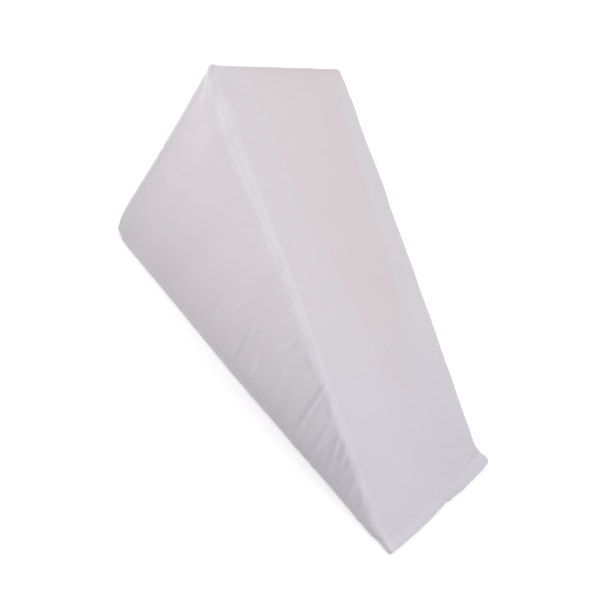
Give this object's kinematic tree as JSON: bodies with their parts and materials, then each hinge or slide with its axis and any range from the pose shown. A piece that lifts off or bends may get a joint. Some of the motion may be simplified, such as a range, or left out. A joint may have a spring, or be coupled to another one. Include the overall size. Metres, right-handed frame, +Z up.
{
  "type": "wedge pillow",
  "caption": "Cloth-covered wedge pillow lying on its base: a slope from a tall square back down to a flattened thin end, with softly crowned panels and sewn edges.",
  "frame": {"origin": "on the ground, at the middle of the outline of the base", "axes": "+X from the tall back towards the thin end, +Y across the slope, +Z up"},
  "size_m": [0.6088, 0.338, 0.3],
  "materials": {
    "cover_cloth": "matt plain-weave cotton, off-white with a slight lilac cast"
  },
  "bodies": {
    "root": {"wedge_cushion": "cover_cloth"}
  },
  "joints": []
}
